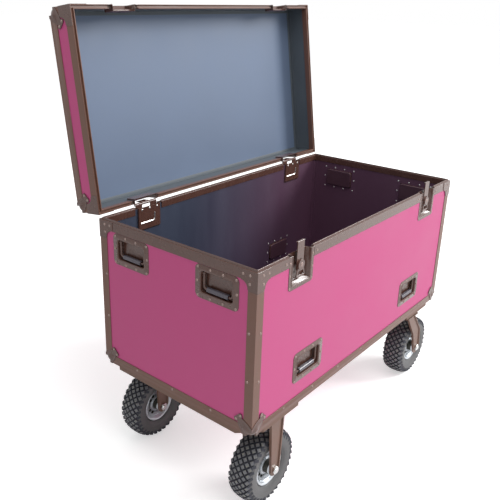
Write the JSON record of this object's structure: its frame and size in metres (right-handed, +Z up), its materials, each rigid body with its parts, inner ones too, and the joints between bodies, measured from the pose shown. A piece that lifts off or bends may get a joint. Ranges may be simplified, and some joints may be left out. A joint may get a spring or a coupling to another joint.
{
  "type": "tack trunk",
  "caption": "Tack trunk of laminated panels in metal edge extrusions, with a hinged lid, butterfly latches, recessed spring handles and pneumatic castors.",
  "frame": {"origin": "on the floor under the middle of the whole trunk as it stands with its lid open", "axes": "+X along the length towards the swivel castors, -Y to the front with the latches, +Z up"},
  "size_m": [1.246, 0.8038, 1.4337],
  "materials": {
    "panel_laminate": "laminated plywood, satin",
    "extrusion": "powder coated, satin",
    "hardware": "pressed steel, powder coated",
    "castor_board": "painted plywood",
    "castor_steel": "powder coated",
    "rim_steel": "silver lacquer",
    "zinc": "bright zinc",
    "tyre_rubber": "matt",
    "grip_rubber": "matt"
  },
  "bodies": {
    "root": {"front_panel": "panel_laminate", "back_panel": "panel_laminate", "left_end_panel": "panel_laminate", "right_end_panel": "panel_laminate", "base_panel": "panel_laminate", "body_edge_angles": "extrusion", "rim_tongue_rails": "extrusion", "body_corner_caps": "hardware", "end_handle_dishes": "hardware", "side_handle_dishes": "hardware", "latch_dishes": "hardware", "hinge_dishes": "hardware", "hinge_pins": "zinc", "castor_boards": "castor_board", "front_left_fixed_fork": "castor_steel", "back_left_fixed_fork": "castor_steel", "left_axle_bolts": "zinc", "swivel_plates": "castor_steel"},
    "lid": {"lid_top_panel": "panel_laminate", "lid_front_panel": "panel_laminate", "lid_back_panel": "panel_laminate", "lid_end_panels": "panel_laminate", "lid_rim_groove_rails": "extrusion", "lid_edge_angles": "extrusion", "lid_corner_caps": "hardware", "lid_keepers": "hardware", "lid_hinge_leaves": "hardware"},
    "left_handle_a": {"left_handle_a_bail": "hardware", "left_handle_a_grip": "grip_rubber"},
    "left_handle_b": {"left_handle_b_bail": "hardware", "left_handle_b_grip": "grip_rubber"},
    "right_handle_a": {"right_handle_a_bail": "hardware", "right_handle_a_grip": "grip_rubber"},
    "right_handle_b": {"right_handle_b_bail": "hardware", "right_handle_b_grip": "grip_rubber"},
    "front_handle_a": {"front_handle_a_bail": "hardware", "front_handle_a_grip": "grip_rubber"},
    "front_handle_b": {"front_handle_b_bail": "hardware", "front_handle_b_grip": "grip_rubber"},
    "back_handle_a": {"back_handle_a_bail": "hardware", "back_handle_a_grip": "grip_rubber"},
    "back_handle_b": {"back_handle_b_bail": "hardware", "back_handle_b_grip": "grip_rubber"},
    "left_latch_key": {"left_latch_key": "hardware"},
    "left_latch_hook": {"left_latch_hook": "hardware"},
    "right_latch_key": {"right_latch_key": "hardware"},
    "right_latch_hook": {"right_latch_hook": "hardware"},
    "front_left_wheel": {"front_left_tyre": "tyre_rubber", "front_left_rim": "rim_steel"},
    "back_left_wheel": {"back_left_tyre": "tyre_rubber", "back_left_rim": "rim_steel"},
    "front_right_swivel": {"front_right_swivel_fork": "castor_steel", "front_right_axle_bolt": "zinc"},
    "front_right_wheel": {"front_right_tyre": "tyre_rubber", "front_right_rim": "rim_steel"},
    "back_right_swivel": {"back_right_swivel_fork": "castor_steel", "back_right_axle_bolt": "zinc"},
    "back_right_wheel": {"back_right_tyre": "tyre_rubber", "back_right_rim": "rim_steel"}
  },
  "joints": [
    {"name": "lid_hinge", "type": "hinge", "parent": "root", "child": "lid", "pos_m": [-0.019, 0.21709, 0.8225], "axis": [1, 0, 0], "range_deg": [0, 98]},
    {"name": "left_handle_a_swing", "type": "hinge", "parent": "root", "child": "left_handle_a", "pos_m": [-0.6101, 0.07609, 0.7585], "axis": [0, 1, 0], "range_deg": [0, 90], "stiffness_Nm_per_rad": 0.06},
    {"name": "left_handle_b_swing", "type": "hinge", "parent": "root", "child": "left_handle_b", "pos_m": [-0.6101, -0.26191, 0.7585], "axis": [0, 1, 0], "range_deg": [0, 90], "stiffness_Nm_per_rad": 0.06},
    {"name": "right_handle_a_swing", "type": "hinge", "parent": "root", "child": "right_handle_a", "pos_m": [0.5721, -0.26191, 0.7585], "axis": [0, -1, 0], "range_deg": [0, 90], "stiffness_Nm_per_rad": 0.06},
    {"name": "right_handle_b_swing", "type": "hinge", "parent": "root", "child": "right_handle_b", "pos_m": [0.5721, 0.07609, 0.7585], "axis": [0, -1, 0], "range_deg": [0, 90], "stiffness_Nm_per_rad": 0.06},
    {"name": "front_handle_a_swing", "type": "hinge", "parent": "root", "child": "front_handle_a", "pos_m": [-0.354, -0.38901, 0.4725], "axis": [-1, 0, 0], "range_deg": [0, 90], "stiffness_Nm_per_rad": 0.06},
    {"name": "front_handle_b_swing", "type": "hinge", "parent": "root", "child": "front_handle_b", "pos_m": [0.316, -0.38901, 0.4725], "axis": [-1, 0, 0], "range_deg": [0, 90], "stiffness_Nm_per_rad": 0.06},
    {"name": "back_handle_a_swing", "type": "hinge", "parent": "root", "child": "back_handle_a", "pos_m": [0.316, 0.20319, 0.4725], "axis": [1, 0, 0], "range_deg": [0, 90], "stiffness_Nm_per_rad": 0.06},
    {"name": "back_handle_b_swing", "type": "hinge", "parent": "root", "child": "back_handle_b", "pos_m": [-0.354, 0.20319, 0.4725], "axis": [1, 0, 0], "range_deg": [0, 90], "stiffness_Nm_per_rad": 0.06},
    {"name": "left_key_turn", "type": "hinge", "parent": "root", "child": "left_latch_key", "pos_m": [-0.421, -0.38791, 0.779], "axis": [0, -1, 0], "range_deg": [0, 180]},
    {"name": "left_hook_draw", "type": "slide", "parent": "root", "child": "left_latch_hook", "axis": [0, 0.3162, -0.9487], "range_m": [0, 0.01265]},
    {"name": "right_key_turn", "type": "hinge", "parent": "root", "child": "right_latch_key", "pos_m": [0.383, -0.38791, 0.779], "axis": [0, -1, 0], "range_deg": [0, 180]},
    {"name": "right_hook_draw", "type": "slide", "parent": "root", "child": "right_latch_hook", "axis": [0, 0.3162, -0.9487], "range_m": [0, 0.01265]},
    {"name": "front_left_wheel_spin", "type": "hinge", "parent": "root", "child": "front_left_wheel", "pos_m": [-0.476, -0.33191, 0.12], "axis": [0, 1, 0], "continuous": true},
    {"name": "back_left_wheel_spin", "type": "hinge", "parent": "root", "child": "back_left_wheel", "pos_m": [-0.476, 0.14609, 0.12], "axis": [0, 1, 0], "continuous": true},
    {"name": "front_right_swivel_turn", "type": "hinge", "parent": "root", "child": "front_right_swivel", "pos_m": [0.438, -0.33191, 0.27], "axis": [0, 0, 1], "continuous": true},
    {"name": "front_right_wheel_spin", "type": "hinge", "parent": "front_right_swivel", "child": "front_right_wheel", "pos_m": [0.503, -0.33191, 0.12], "axis": [0, 1, 0], "continuous": true},
    {"name": "back_right_swivel_turn", "type": "hinge", "parent": "root", "child": "back_right_swivel", "pos_m": [0.438, 0.14609, 0.27], "axis": [0, 0, 1], "continuous": true},
    {"name": "back_right_wheel_spin", "type": "hinge", "parent": "back_right_swivel", "child": "back_right_wheel", "pos_m": [0.503, 0.14609, 0.12], "axis": [0, 1, 0], "continuous": true}
  ],
  "couplings": [
    {"joint": "left_key_turn", "follows": "left_hook_draw", "rad_per_m": 248.36},
    {"joint": "right_key_turn", "follows": "right_hook_draw", "rad_per_m": 248.36}
  ]
}
